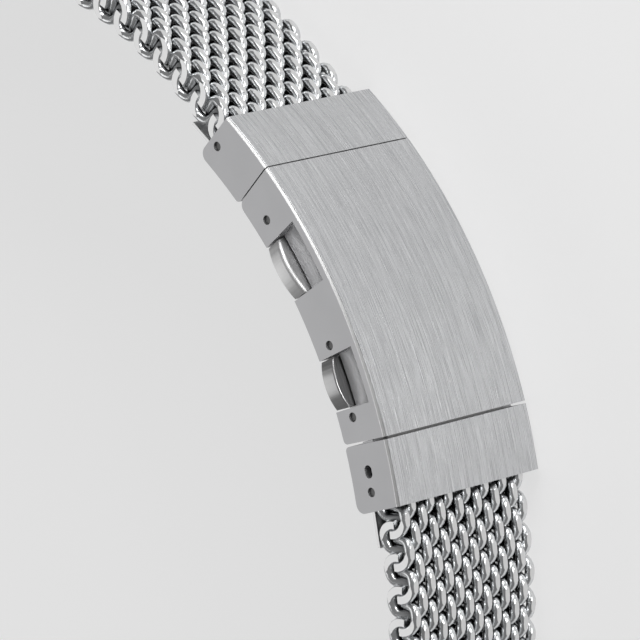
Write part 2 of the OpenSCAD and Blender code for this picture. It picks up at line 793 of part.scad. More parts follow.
on_head() bar_tube();  // head_bar_tube
on_head() bar_spring();  // head_bar_spring
on_head() bar_tip();  // head_tip_top
on_head() other_side() bar_tip();  // head_tip_bottom
on_tail() end_bar();  // tail_end_bar
on_tail() end_pin();  // tail_end_pin
on_tail() bar_tube();  // tail_bar_tube
on_tail() bar_spring();  // tail_bar_spring
on_tail() bar_tip();  // tail_tip_top
on_tail() other_side() bar_tip();  // tail_tip_bottom
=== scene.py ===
"""Dresses a thick mesh watch band: woven wire rows, a brushed folding clasp, springs and a pale studio."""

import json
import math

import bmesh
import bpy
import numpy as np
from mathutils import Matrix, Vector

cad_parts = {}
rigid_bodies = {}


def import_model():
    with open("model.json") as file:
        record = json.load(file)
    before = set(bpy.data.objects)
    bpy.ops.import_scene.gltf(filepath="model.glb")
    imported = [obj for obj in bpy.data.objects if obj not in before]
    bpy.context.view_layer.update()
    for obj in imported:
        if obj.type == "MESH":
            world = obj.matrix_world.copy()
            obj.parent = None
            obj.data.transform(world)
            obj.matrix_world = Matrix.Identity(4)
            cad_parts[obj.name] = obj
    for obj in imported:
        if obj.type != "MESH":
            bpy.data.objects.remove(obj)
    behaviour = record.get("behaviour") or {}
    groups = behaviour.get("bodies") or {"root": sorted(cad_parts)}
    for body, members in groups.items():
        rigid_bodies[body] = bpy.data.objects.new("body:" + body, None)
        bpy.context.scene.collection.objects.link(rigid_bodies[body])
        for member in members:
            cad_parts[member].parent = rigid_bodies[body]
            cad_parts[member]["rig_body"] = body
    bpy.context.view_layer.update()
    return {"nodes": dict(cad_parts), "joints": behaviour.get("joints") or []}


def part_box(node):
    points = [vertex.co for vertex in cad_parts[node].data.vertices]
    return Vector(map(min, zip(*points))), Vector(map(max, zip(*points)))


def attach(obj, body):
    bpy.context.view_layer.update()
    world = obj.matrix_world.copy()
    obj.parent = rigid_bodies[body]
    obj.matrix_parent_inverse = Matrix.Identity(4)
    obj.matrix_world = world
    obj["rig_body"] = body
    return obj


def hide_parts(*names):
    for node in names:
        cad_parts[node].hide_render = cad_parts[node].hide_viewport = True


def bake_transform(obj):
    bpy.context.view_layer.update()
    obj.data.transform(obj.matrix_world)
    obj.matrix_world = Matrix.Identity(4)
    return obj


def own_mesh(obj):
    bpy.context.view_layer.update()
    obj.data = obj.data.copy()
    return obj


bl_info = {
    "name": "Mesh watch band",
    "version": (1, 0, 0),
    "blender": (4, 5, 0),
    "location": "3D View > Sidebar > Watch band",
    "description": "Builds the woven mesh, the springs, the steel finishes and the studio of a watch band",
    "category": "Object",
}

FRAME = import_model()
NODES = FRAME["nodes"]
JOINTS = {joint["name"]: joint for joint in FRAME["joints"]}
STRAPS = ("head", "tail")
ENDS = ("top", "bottom")
MM = 0.001
MERGE_DISTANCE = 1e-7
CUT_DISTANCE = 1e-8


# Places that the frame gives


def node_corners(name):
    """The lowest and highest corner of a solid, as arrays."""
    low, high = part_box(name)
    return np.array(low), np.array(high)


COVER_LOW, COVER_HIGH = node_corners("cover")
ARC_CENTRE = np.array(JOINTS["tail_extend"]["pos_m"])
ARC_RADIUS = ARC_CENTRE[1] - COVER_LOW[1]
MIDDLE_Z = (COVER_LOW[2] + COVER_HIGH[2]) / 2
HALF_WIDTH = (COVER_HIGH[2] - COVER_LOW[2]) / 2


def on_arc(along, depth, z):
    """The point at an arc length along the clasp's outer face and a depth below it."""
    turn = along / ARC_RADIUS
    radius = ARC_RADIUS - depth
    return Vector((ARC_CENTRE[0] + radius * math.sin(turn), ARC_CENTRE[1] - radius * math.cos(turn), z))


# Small helpers for meshes


def link(piece):
    """Puts a new object in the scene."""
    bpy.context.scene.collection.objects.link(piece)
    return piece


def mesh_object(name, shape):
    """A new object from a bmesh, which is freed."""
    data = bpy.data.meshes.new(name)
    shape.to_mesh(data)
    shape.free()
    return link(bpy.data.objects.new(name, data))


def empty_object(name):
    """An object with an empty mesh, for a tree to fill."""
    return link(bpy.data.objects.new(name, bpy.data.meshes.new(name)))


def discard(piece):
    """Takes a helper object away and gives back its mesh."""
    data = piece.data
    bpy.data.objects.remove(piece)
    return data


def coat(piece, material):
    """Gives a piece one material in place of what it has."""
    piece.data.materials.clear()
    piece.data.materials.append(material)


def faces_outward(data):
    """Turns a closed mesh the right way round if its volume comes out negative."""
    shape = bmesh.new()
    shape.from_mesh(data)
    if shape.calc_volume(signed=True) < 0:
        bmesh.ops.reverse_faces(shape, faces=shape.faces)
        shape.to_mesh(data)
    shape.free()


def closed_piece(name, shape, material):
    """A piece of one material from a closed bmesh, with its faces outwards."""
    piece = mesh_object(name, shape)
    coat(piece, material)
    faces_outward(piece.data)
    return piece


def joined(name, meshes, material):
    """One piece from several closed meshes, which are used up."""
    shape = bmesh.new()
    for data in meshes:
        shape.from_mesh(data)
        bpy.data.meshes.remove(data)
    return closed_piece(name, shape, material)


def merged_copy(node):
    """A copy of a CAD solid with the corners of its loose triangles merged."""
    shape = bmesh.new()
    shape.from_mesh(NODES[node].data)
    bmesh.ops.remove_doubles(shape, verts=shape.verts, dist=MERGE_DISTANCE)
    return shape


def cut(shape, place, away, clear=False):
    """Cuts a whole bmesh along a plane, and clears what lies beyond it where asked."""
    whole = list(shape.verts) + list(shape.edges) + list(shape.faces)
    bmesh.ops.bisect_plane(shape, geom=whole, dist=CUT_DISTANCE, plane_co=place, plane_no=away,
                           clear_outer=clear)


# The leaf springs: stiff lengths at pin and tip, depth of the bends, and where and how the plate narrows

LEAF_PIN = 0.0016
LEAF_TIP = 0.0006
LEAF_DEPTH = 0.004
LEAF_SHOULDER = 0.0006
LEAF_SLOPE = 1.5


def leaf(node, material, bends, reach):
    """A leaf spring: its plate, cut across at even steps, with less reach down past its pin."""
    shape = merged_copy(node)
    low, high = node_corners(node)
    start, finish = (math.asin((x - ARC_CENTRE[0]) / ARC_RADIUS) * ARC_RADIUS for x in (low[0], high[0]))
    fixed, free = start + LEAF_PIN, finish - LEAF_TIP
    for i in range(bends + 1):
        along = fixed + (free - fixed) * i / bends
        turn = along / ARC_RADIUS
        cut(shape, on_arc(along, LEAF_DEPTH, low[2]), (math.cos(turn), math.sin(turn), 0))
    for corner in shape.verts:
        place = np.array(corner.co[:2]) - ARC_CENTRE[:2]
        radius = np.linalg.norm(place)
        along = math.atan2(place[0], -place[1]) * ARC_RADIUS
        least = ARC_RADIUS - reach - LEAF_SLOPE * max(0, fixed + LEAF_SHOULDER - along)
        if radius < least:
            corner.co.x, corner.co.y = ARC_CENTRE[:2] + place * (least / radius)
    piece = closed_piece(node + "_leaf", shape, material)
    return piece, tuple(on_arc(fixed, LEAF_DEPTH, low[2])), tuple(on_arc(free, LEAF_DEPTH, low[2]))


# The pushers' crests: how far their faces look up and out, and which angles count as flat and as sharp

FLANK_UP = 0.1
CROWN_UP = 0.85
FLANK_OUT = -0.8
SAME_PLANE = math.radians(0.5)
SHARP_ANGLE = math.radians(26)


def rounded_pusher(node, material, crest, steps):
    """A pusher whose crest is rounded, where its crown meets the flank that faces the outer side."""
    shape = merged_copy(node)
    bmesh.ops.dissolve_limit(shape, angle_limit=SAME_PLANE, verts=shape.verts, edges=shape.edges)
    at_top = node_corners(node)[1][2] > COVER_HIGH[2]

    def on_crest(edge):
        """Whether an edge lies high on the pusher, between its crown and its outer flank."""
        if len(edge.link_faces) != 2:
            return False
        flank, crown = sorted(abs(face.normal.z) for face in edge.link_faces)
        outward = min(face.normal.y for face in edge.link_faces)
        heights = [corner.co.z for corner in edge.verts]
        rise = min(heights) - COVER_HIGH[2] if at_top else COVER_LOW[2] - max(heights)
        return flank < FLANK_UP and crown > CROWN_UP and outward < FLANK_OUT and rise > -MM

    bmesh.ops.bevel(shape, geom=[edge for edge in shape.edges if on_crest(edge)], offset=crest,
                    offset_type="OFFSET", segments=steps, profile=0.5, affect="EDGES", clamp_overlap=True)
    for face in shape.faces:
        face.smooth = True
    for edge in shape.edges:
        edge.smooth = len(edge.link_faces) == 2 and edge.calc_face_angle() < SHARP_ANGLE
    return closed_piece(node + "_rounded", shape, material)


# Small helpers for node trees


class Tree:
    """Adds nodes to a tree and joins them up, so that the trees below read from top to bottom."""

    def __init__(self, tree):
        self.tree = tree

    def node(self, kind, inputs=None, **settings):
        made = self.tree.nodes.new(kind)
        for key, value in settings.items():
            setattr(made, key, value)
        for key, value in (inputs or {}).items():
            self.put(made.inputs[key], value)
        return made

    def put(self, socket, value):
        """Joins a socket to another, or gives it a value."""
        if isinstance(value, bpy.types.NodeSocket):
            self.tree.links.new(value, socket)
        else:
            socket.default_value = value

    def math(self, operation, *values):
        made = self.node("ShaderNodeMath", operation=operation)
        for socket, value in zip(made.inputs, values):
            self.put(socket, value)
        return made.outputs[0]

    def vector(self, operation, one, two):
        """A step of vector maths, where a scale takes a number as its second value."""
        second = "Scale" if operation == "SCALE" else 1
        return self.node("ShaderNodeVectorMath", {0: one, second: two}, operation=operation).outputs["Vector"]

    def ramp(self, value, low, high):
        """A smooth step of value from 0 at low to 1 at high."""
        made = self.node("ShaderNodeMapRange", {"Value": value, "From Min": low, "From Max": high},
                         interpolation_type="SMOOTHSTEP")
        return made.outputs["Result"]

    def mix(self, factor, one, two):
        """A colour between two."""
        made = self.node("ShaderNodeMix", data_type="RGBA")
        for key, given in (("Factor", factor), ("A", one), ("B", two)):
            sockets = [s for s in made.inputs if s.name == key and s.enabled]
            self.put(sockets[0], given)
        return [s for s in made.outputs if s.enabled][0]

    def rest(self, share):
        """What a share leaves of 1."""
        return self.math("SUBTRACT", 1.0, share)

    def line(self, value, start, rise):
        """A straight line: start where the value is 0, start and rise together where it is 1."""
        return self.math("ADD", start, self.math("MULTIPLY", value, rise))

    def blend(self, share, one, two):
        """One number where the share is 0, the other where it is 1."""
        first = self.math("MULTIPLY", self.rest(share), one)
        return self.math("ADD", self.math("MULTIPLY", share, two), first)


def new_group(name, kind, inputs, outputs):
    """A node group with its named sockets, its helper, and what its inputs give."""
    tree = bpy.data.node_groups.new(name, kind)
    for label, socket, *default in inputs:
        made = tree.interface.new_socket(name=label, in_out="INPUT", socket_type="NodeSocket" + socket)
        if default:
            made.default_value = default[0]
    for label, socket in outputs:
        tree.interface.new_socket(name=label, in_out="OUTPUT", socket_type="NodeSocket" + socket)
    t = Tree(tree)
    return tree, t, t.node("NodeGroupInput").outputs


# Rows of the woven mesh, read from the solids that stand for them


def islands(data):
    """The closed shells of a mesh of loose triangles, each as corner points, face areas and face normals."""
    points = np.empty(len(data.vertices) * 3)
    data.vertices.foreach_get("co", points)
    points = points.reshape(-1, 3)
    places, where = np.unique(np.round(points / MERGE_DISTANCE).astype(np.int64), axis=0, return_inverse=True)
    where = where.reshape(-1)
    data.calc_loop_triangles()
    corners = np.empty(len(data.loop_triangles) * 3, np.int64)
    data.loop_triangles.foreach_get("vertices", corners)
    corners = corners.reshape(-1, 3)
    faces = where[corners]
    label = np.arange(len(places))
    while True:
        lowest = label[faces].min(axis=1)
        before = label.copy()
        for k in range(3):
            np.minimum.at(label, faces[:, k], lowest)
        label = label[label]
        if (label == before).all():
            break
    found = []
    for value in np.unique(label[faces[:, 0]]):
        tri = points[corners[label[faces[:, 0]] == value]]
        cross = np.cross(tri[:, 1] - tri[:, 0], tri[:, 2] - tri[:, 0])
        area = np.linalg.norm(cross, axis=1)
        keep = area > 0
        found.append((tri.reshape(-1, 3), area[keep], cross[keep] / area[keep, None]))
    return found


def strap_rows(strap, node):
    """The rows of one piece of a strap from the clasp outwards: centre, direction, half thickness, sides."""
    rows = []
    for points, area, normal in islands(NODES[node].data):
        flat = normal.copy()
        flat[:, 2] = 0
        spread = (flat * area[:, None]).T @ flat
        along = np.linalg.eigh(spread[:2, :2])[1][:, 1]
        along = np.array((along[0], along[1], 0.0))
        middle = points.mean(axis=0)
        if along @ np.cross((0, 0, 1), (middle[0], middle[1], 0)) < 0:
            along = -along
        out = np.cross(along, (0, 0, 1))
        u, v = points @ along, points @ out
        centre = along * (u.min() + u.max()) / 2 + out * (v.min() + v.max()) / 2
        side = 1 if strap == "head" else -1
        rows.append({"centre": centre, "along": along, "face": (v.max() - v.min()) / 2,
                     "low": points[:, 2].min(), "high": points[:, 2].max(),
                     "place": math.atan2(centre[1], side * centre[0])})
    return sorted(rows, key=lambda row: row["place"])


# Shader groups that several finishes share: each layer of lines has a seed, a length, a width and a detail

LINE_LAYERS = ((0.0, 0.6, 1.0, 2.0), (7.3, 1.6, 1.7, 1.0), (3.1, 2.4, 0.7, 0.0))
LINE_CONTRAST = (0.32, 0.68)
MARKS_SCALE = 260.0


def brushed_group():
    """Fine parallel lines along one direction, as a height and as a streak of light and dark."""
    tree, t, given = new_group(
        "Brushed lines", "ShaderNodeTree",
        [("Along", "Float", 0.0), ("Across", "Float", 0.0), ("Line Length", "Float", 0.006),
         ("Line Width", "Float", 0.00012)],
        [("Height", "Float"), ("Streak", "Float")])
    layers = []
    for seed, longer, wider, detail in LINE_LAYERS:
        x = t.math("DIVIDE", given["Along"], t.math("MULTIPLY", given["Line Length"], longer))
        y = t.math("DIVIDE", given["Across"], t.math("MULTIPLY", given["Line Width"], wider))
        place = t.node("ShaderNodeCombineXYZ", {"X": x, "Y": y, "Z": seed})
        noise = t.node("ShaderNodeTexNoise", {"Vector": place.outputs[0], "Scale": 1.0, "Detail": detail,
                                              "Roughness": 0.6})
        layers.append(noise.outputs["Fac"])
    height = t.math("ADD", t.math("MULTIPLY", layers[0], 0.5), t.math("MULTIPLY", layers[2], 0.5))
    streak = t.math("ADD", t.math("MULTIPLY", layers[0], 0.6), t.math("MULTIPLY", layers[1], 0.4))
    t.node("NodeGroupOutput", {"Height": height, "Streak": t.ramp(streak, *LINE_CONTRAST)})
    return tree


def grain_group():
    """A fine blasted grain with faint marks of handling, as a height and as a tone."""
    tree, t, given = new_group(
        "Satin grain", "ShaderNodeTree", [("Vector", "Vector"), ("Grain Size", "Float", 0.00008)],
        [("Height", "Float"), ("Tone", "Float")])
    fine_place = t.vector("SCALE", given["Vector"], t.math("DIVIDE", 1.0, given["Grain Size"]))
    fine = t.node("ShaderNodeTexNoise", {"Vector": fine_place, "Scale": 1.0, "Detail": 2.0}).outputs["Fac"]
    marks = t.node("ShaderNodeTexNoise", {"Vector": given["Vector"], "Scale": MARKS_SCALE, "Detail": 3.0})
    tone = t.math("ADD", t.math("MULTIPLY", marks.outputs["Fac"], 0.7), t.math("MULTIPLY", fine, 0.3))
    t.node("NodeGroupOutput", {"Height": fine, "Tone": tone})
    return tree


def shared_group(t, name, build, inputs):
    """Sets a shader group in a material with its own values, and builds it the first time it is asked for."""
    group = bpy.data.node_groups.get(name) or build()
    return t.node("ShaderNodeGroup", inputs, node_tree=group).outputs


def new_material(name):
    """An empty node material with its Principled shader joined to the output."""
    made = bpy.data.materials.new(name)
    made.use_nodes = True
    made.node_tree.nodes.clear()
    t = Tree(made.node_tree)
    shader = t.node("ShaderNodeBsdfPrincipled", {"Metallic": 1.0})
    t.node("ShaderNodeOutputMaterial", {"Surface": shader.outputs[0]})
    return made, t, shader


def feed(t, shader, colour, rough, height, strength, distance):
    """Gives a shader its colour, its roughness and a height as a bump."""
    bump = t.node("ShaderNodeBump", {"Height": height, "Strength": strength, "Distance": distance})
    t.put(shader.inputs["Base Color"], colour)
    t.put(shader.inputs["Roughness"], rough)
    t.put(shader.inputs["Normal"], bump.outputs[0])


def object_place(t):
    """Where a point lies in its piece, as its mesh has it."""
    return t.node("ShaderNodeTexCoord").outputs["Object"]


def arc_place(t):
    """Where a point lies on the clasp's arc: radius, arc length, height across the width."""
    place = t.vector("SUBTRACT", object_place(t), (ARC_CENTRE[0], ARC_CENTRE[1], MIDDLE_Z))
    split = t.node("ShaderNodeSeparateXYZ", {"Vector": place}).outputs
    down = t.math("MULTIPLY", split["Y"], -1.0)
    radius = t.math("SQRT", t.math("ADD", t.math("MULTIPLY", split["X"], split["X"]),
                                   t.math("MULTIPLY", down, down)))
    along = t.math("MULTIPLY", t.math("ARCTAN2", split["X"], down), ARC_RADIUS)
    return radius, along, split["Z"]


def opaque(colour):
    """A colour with full alpha."""
    return tuple(colour) + (1.0,)


def steel_colour(value, tint=(1.0, 1.0, 1.0)):
    """A grey of steel, tinted where asked."""
    return opaque(value * part for part in tint)


# The clasp's finish: where its bevels lie, and the start and rise of its roughness

SKIN_DEPTH = 0.00004
BEVEL_WIDTH = 0.0003
EDGE_TONE = 0.72
EDGE_POLISH = 0.35
FACE_ROUGH = (0.22, 0.14)
SIDE_ROUGH = (0.46, 0.12)
SIDE_GRAIN = 0.04
CLASP_DEPTH = 0.00012

# The other finishes: length of a line, rise of roughness, and strength and depth of the bumps

LINE_LENGTH = 0.004
LINE_RISE = 0.08
LINE_DEPTH = 0.00003
GRAIN_RISE = 0.1
GRAIN_STRENGTH = 0.12
GRAIN_DEPTH = 0.00002
WIRE_GRAIN_SIZE = 0.0001
WIRE_STRENGTH = 0.15


def clasp_steel(settings):
    """Brushed outer face, polished long edges and satin sides, told apart by their place on the arc."""
    made, t, shader = new_material("Clasp steel")
    radius, along, across = arc_place(t)
    brushed = shared_group(t, "Brushed lines", brushed_group, {
        "Along": along, "Across": across, "Line Length": settings.line_length,
        "Line Width": settings.line_width})
    grain = shared_group(t, "Satin grain", grain_group, {"Vector": object_place(t)})

    def within(value, limit, depth, softness):
        """A soft step to 1 where a value is less than a depth from its limit."""
        return t.ramp(value, limit - depth - softness, limit - depth + softness)

    outer = within(radius, ARC_RADIUS, SKIN_DEPTH, softness=0.00002)
    near_edge = within(t.math("ABSOLUTE", across), HALF_WIDTH, BEVEL_WIDTH, softness=0.00003)
    high_up = within(radius, ARC_RADIUS, BEVEL_WIDTH, softness=0.00004)
    edge = t.math("MULTIPLY", t.math("MULTIPLY", near_edge, high_up), t.rest(outer))
    streak, tone = brushed["Streak"], grain["Tone"]
    face = t.mix(streak, opaque(settings.face_dark), opaque(settings.face_light))
    side = t.mix(tone, opaque(settings.side_dark), opaque(settings.side_light))
    colour = t.mix(edge, t.mix(outer, side, face), steel_colour(EDGE_TONE))
    rough = t.blend(outer, t.line(tone, *SIDE_ROUGH), t.line(streak, *FACE_ROUGH))
    rough = t.math("MULTIPLY", rough, t.rest(t.math("MULTIPLY", edge, EDGE_POLISH)))
    height = t.blend(outer, t.math("MULTIPLY", grain["Height"], SIDE_GRAIN), brushed["Height"])
    feed(t, shader, colour, rough, height, settings.brush_strength, CLASP_DEPTH)
    return made


def brushed_steel(name, dark, light, rough, width, strength, arc=True):
    """Steel brushed along the clasp's arc, or along X where the piece isn't on it."""
    made, t, shader = new_material(name)
    if arc:
        _, along, across = arc_place(t)
    else:
        split = t.node("ShaderNodeSeparateXYZ", {"Vector": object_place(t)}).outputs
        along, across = t.math("ADD", split["X"], split["Y"]), split["Z"]
    brushed = shared_group(t, "Brushed lines", brushed_group, {
        "Along": along, "Across": across, "Line Length": LINE_LENGTH, "Line Width": width})
    streak = brushed["Streak"]
    colour = t.mix(streak, steel_colour(dark), steel_colour(light))
    feed(t, shader, colour, t.line(streak, rough, LINE_RISE), brushed["Height"], strength, LINE_DEPTH)
    return made


def grained_steel(name, dark, light, rough, tint=(1.0, 1.0, 1.0)):
    """Steel with an even fine grain, for turned and ground pieces."""
    made, t, shader = new_material(name)
    grain = shared_group(t, "Satin grain", grain_group, {"Vector": object_place(t)})
    tone = grain["Tone"]
    colour = t.mix(tone, steel_colour(dark, tint), steel_colour(light, tint))
    feed(t, shader, colour, t.line(tone, rough, GRAIN_RISE), grain["Height"], GRAIN_STRENGTH, GRAIN_DEPTH)
    return made


def wire_steel(settings):
    """Round wire with matte ground flats, and painted shade that darkens the wire the deeper it lies between
    the loops.
    """
    made, t, shader = new_material("Mesh wire")
    ground = t.node("ShaderNodeAttribute", attribute_name="ground").outputs["Fac"]
    depth = t.node("ShaderNodeAttribute", attribute_name="depth").outputs["Fac"]
    grain = shared_group(t, "Satin grain", grain_group, {
        "Vector": object_place(t), "Grain Size": WIRE_GRAIN_SIZE})
    tone = grain["Tone"]
    flat = t.mix(tone, opaque(settings.flat_dark), opaque(settings.flat_light))
    round_wire = t.mix(tone, opaque(settings.wire_dark), opaque(settings.wire_light))
    # Painted shade: deep between the loops the wire's colour goes over to a near-black, as shade would fall
    # there.
    painted_recess_shade = t.ramp(depth, settings.recess_shade_start, settings.recess_shade_end)
    round_wire = t.mix(painted_recess_shade, round_wire, opaque(settings.painted_recess_shade))
    colour = t.mix(ground, round_wire, flat)
    rough = t.line(ground, settings.wire_rough, settings.flat_rough - settings.wire_rough)
    feed(t, shader, colour, rough, grain["Height"], WIRE_STRENGTH, GRAIN_DEPTH)
    return made


def finish_nodes(names, material):
    """Gives carried-over solids a finish."""
    for name in names:
        coat(NODES[name], material)


# The weave and the wound springs, as Geometry Nodes trees

# Turns past an outer bar between which the loops go from round to square, and how the outer bars lean in

ROUND_LOOP = -0.6
SQUARE_LOOP = 0.8
LEAN_START = 0.8
LEAN_RISE = 0.5
LEAN_SOFTNESS = 0.3


def spiral_power(t, value, power):
    """Keeps the sign of a value and raises its size to a power, which squares the loop's corners."""
    return t.math("MULTIPLY", t.math("SIGN", value), t.math("POWER", t.math("ABSOLUTE", value), power))


def wire_tube(t, curve, radius, sides):
    """A smooth tube of wire along a curve, closed at both ends."""
    ring = t.node("GeometryNodeCurvePrimitiveCircle", {"Resolution": sides, "Radius": radius})
    tube = t.node("GeometryNodeCurveToMesh", {
        "Curve": curve, "Profile Curve": ring.outputs[0], "Fill Caps": True})
    smooth = t.node("GeometryNodeSetShadeSmooth", {"Geometry": tube.outputs[0], "Shade Smooth": True})
    return smooth.outputs[0]


def end_tree(t, geometry, material):
    """Ends a tree: instances are made real and get their material."""
    real = t.node("GeometryNodeRealizeInstances", {"Geometry": geometry})
    done = t.node("GeometryNodeSetMaterial", {"Geometry": real.outputs[0], "Material": material})
    t.node("NodeGroupOutput", {"Geometry": done.outputs[0]})


def coil_tree():
    """One row's flattened coil of wire: X runs along the strap, Y towards the wrist, Z across the width."""
    tree, t, given = new_group(
        "Wire coil", "GeometryNodeTree",
        [("Wire Radius", "Float", 0.00055), ("Reach Ahead", "Float", 0.0014),
         ("Reach Behind", "Float", 0.0014), ("Half Height", "Float", 0.0012), ("Length Power", "Float", 0.85),
         ("Height Power", "Float", 0.85), ("First Bar", "Float", 0.0), ("Last Bar", "Float", 0.018),
         ("Bars", "Int", 14), ("End Turn", "Float", 1.7), ("Steps per Bar", "Int", 12), ("Sides", "Int", 12),
         ("Material", "Material")],
        [("Geometry", "Geometry")])
    half_turns = t.math("MULTIPLY", t.math("SUBTRACT", given["Bars"], 1.0), math.pi)
    last = t.math("ADD", half_turns, given["End Turn"])
    first = t.math("MULTIPLY", given["End Turn"], -1.0)
    count = t.math("MULTIPLY", given["Steps per Bar"],
                   t.math("DIVIDE", t.math("SUBTRACT", last, first), math.pi))
    line = t.node("GeometryNodeMeshLine", {
        "Count": t.math("ADD", t.math("ROUND", count), 1.0),
        "Start Location": t.node("ShaderNodeCombineXYZ", {"X": first}).outputs[0],
        "Offset": t.node("ShaderNodeCombineXYZ", {"X": last}).outputs[0]}, mode="END_POINTS")
    wire = t.node("GeometryNodeMeshToCurve", {"Mesh": line.outputs[0]})
    place = t.node("GeometryNodeInputPosition").outputs[0]
    turn = t.node("ShaderNodeSeparateXYZ", {"Vector": place}).outputs["X"]
    nearer_end = t.math("MINIMUM", turn, t.math("SUBTRACT", half_turns, turn))
    inside = t.ramp(nearer_end, ROUND_LOOP, SQUARE_LOOP)

    def power_here(power):
        """The power within the row, and 1 at its two ends, where the loops are round."""
        return t.rest(t.math("MULTIPLY", inside, t.rest(power)))

    def climb(turned):
        """How far across the wire has moved, in bars times pi: it moves at the loops' ends."""
        twice = t.math("MULTIPLY", t.math("SINE", t.math("MULTIPLY", turned, 2.0)), -2 / 3)
        fourth = t.math("MULTIPLY", t.math("SINE", t.math("MULTIPLY", turned, 4.0)), 1 / 12)
        return t.math("ADD", turned, t.math("ADD", twice, fourth))

    def lean(turned):
        """What an outer bar adds to that, so that it leans in from the ground side."""
        slope = t.math("MULTIPLY", t.math("ADD", turned, LEAN_START), LEAN_RISE)
        least = t.math("MAXIMUM", t.math("SMOOTH_MAX", climb(turned), slope, LEAN_SOFTNESS), 0.0)
        return t.math("SUBTRACT", least, climb(turned))

    share = spiral_power(t, t.math("SINE", turn), power_here(given["Length Power"]))
    reach = t.blend(t.math("GREATER_THAN", share, 0.0), given["Reach Behind"], given["Reach Ahead"])
    x = t.math("MULTIPLY", share, reach)
    height = spiral_power(t, t.math("COSINE", turn), power_here(given["Height Power"]))
    y = t.math("MULTIPLY", height, given["Half Height"])
    moved = t.math("ADD", climb(turn), lean(turn))
    moved = t.math("SUBTRACT", moved, lean(t.math("SUBTRACT", half_turns, turn)))
    step = t.math("DIVIDE", t.math("SUBTRACT", given["Last Bar"], given["First Bar"]), half_turns)
    z = t.math("ADD", given["First Bar"], t.math("MULTIPLY", moved, step))
    coiled = t.node("GeometryNodeSetPosition", {
        "Geometry": wire.outputs[0],
        "Position": t.node("ShaderNodeCombineXYZ", {"X": x, "Y": y, "Z": z}).outputs[0]})
    end_tree(t, wire_tube(t, coiled.outputs[0], given["Wire Radius"], given["Sides"]), given["Material"])
    return tree


def rows_tree():
    """Sets a ground coil at each point that stands for a row, turned to the row's direction."""
    tree, t, given = new_group(
        "Woven rows", "GeometryNodeTree",
        [("Geometry", "Geometry"), ("Coil", "Object"), ("Material", "Material")], [("Geometry", "Geometry")])
    coil = t.node("GeometryNodeObjectInfo", {"Object": given["Coil"]})
    row_turn = t.node("GeometryNodeInputNamedAttribute", {"Name": "row_turn"}, data_type="FLOAT")
    facing = t.node("ShaderNodeCombineXYZ", {"Z": row_turn.outputs["Attribute"]})
    rows = t.node("GeometryNodeInstanceOnPoints", {
        "Points": given["Geometry"], "Instance": coil.outputs["Geometry"], "Rotation": facing.outputs[0]})
    end_tree(t, rows.outputs[0], given["Material"])
    return tree


def spring_tree():
    """A wound spring that stands on a place and reaches up from it."""
    tree, t, given = new_group(
        "Wound spring", "GeometryNodeTree",
        [("Coils", "Float", 11.0), ("Coil Radius", "Float", 0.0005), ("Wire Radius", "Float", 0.0001),
         ("Length", "Float", 0.005), ("Place", "Vector"), ("Steps per Coil", "Int", 16), ("Sides", "Int", 8),
         ("Material", "Material")],
        [("Geometry", "Geometry")])
    spiral = t.node("GeometryNodeCurveSpiral", {
        "Resolution": given["Steps per Coil"], "Rotations": given["Coils"],
        "Start Radius": given["Coil Radius"], "End Radius": given["Coil Radius"], "Height": given["Length"]})
    tube = wire_tube(t, spiral.outputs[0], given["Wire Radius"], given["Sides"])
    moved = t.node("GeometryNodeTransform", {"Geometry": tube, "Translation": given["Place"]})
    end_tree(t, moved.outputs[0], given["Material"])
    return tree


def grind(data, face, low, high):
    """Cuts a coil flat on both faces and both sides, marks the flats, and stores how deep each point lies."""
    shape = bmesh.new()
    shape.from_mesh(data)
    ground = shape.faces.layers.float.new("ground")
    for place, away in (((0, face, 0), (0, 1, 0)), ((0, -face, 0), (0, -1, 0)),
                        ((0, 0, high), (0, 0, 1)), ((0, 0, low), (0, 0, -1))):
        cut(shape, place, away, clear=True)
        rims = [edge for edge in shape.edges if edge.is_boundary]
        for flat in bmesh.ops.holes_fill(shape, edges=rims, sides=0)["faces"]:
            flat[ground] = 1.0
            flat.smooth = False
            for edge in flat.edges:
                edge.smooth = False
    if any(edge.is_boundary for edge in shape.edges):
        raise RuntimeError("a ground flat of the weave was left open")
    bmesh.ops.recalc_face_normals(shape, faces=shape.faces)
    shape.to_mesh(data)
    shape.free()
    points = np.empty(len(data.vertices) * 3, np.float32)
    data.vertices.foreach_get("co", points)
    points = points.reshape(-1, 3)
    depth = np.minimum(face - np.abs(points[:, 1]), np.minimum(high - points[:, 2], points[:, 2] - low))
    layer = data.attributes.new("depth", "FLOAT", "POINT")
    layer.data.foreach_set("value", np.maximum(depth, 0).astype(np.float32))


def tree_to_mesh(piece, tree, inputs):
    """Runs a tree on an object and keeps the result as its plain mesh."""
    modifier = piece.modifiers.new("Rule", "NODES")
    modifier.node_group = tree
    keys = {item.name: item.identifier for item in tree.interface.items_tree if item.in_out == "INPUT"}
    for name, value in inputs.items():
        modifier[keys[name]] = value
    bpy.context.view_layer.update()
    seen = piece.evaluated_get(bpy.context.evaluated_depsgraph_get())
    result = bpy.data.meshes.new_from_object(seen)
    piece.modifiers.remove(modifier)
    old = piece.data
    piece.data = result
    bpy.data.meshes.remove(old)
    result.name = piece.name
    faces_outward(result)
    return piece


def row_points(name, rows):
    """One point for each row, with the turn that the row has."""
    data = bpy.data.meshes.new(name)
    data.from_pydata([tuple(row["centre"]) for row in rows], [], [])
    layer = data.attributes.new("row_turn", "FLOAT", "POINT")
    layer.data.foreach_set("value", np.array([row["turn"] for row in rows], np.float32))
    return link(bpy.data.objects.new(name, data))


# What a user can change


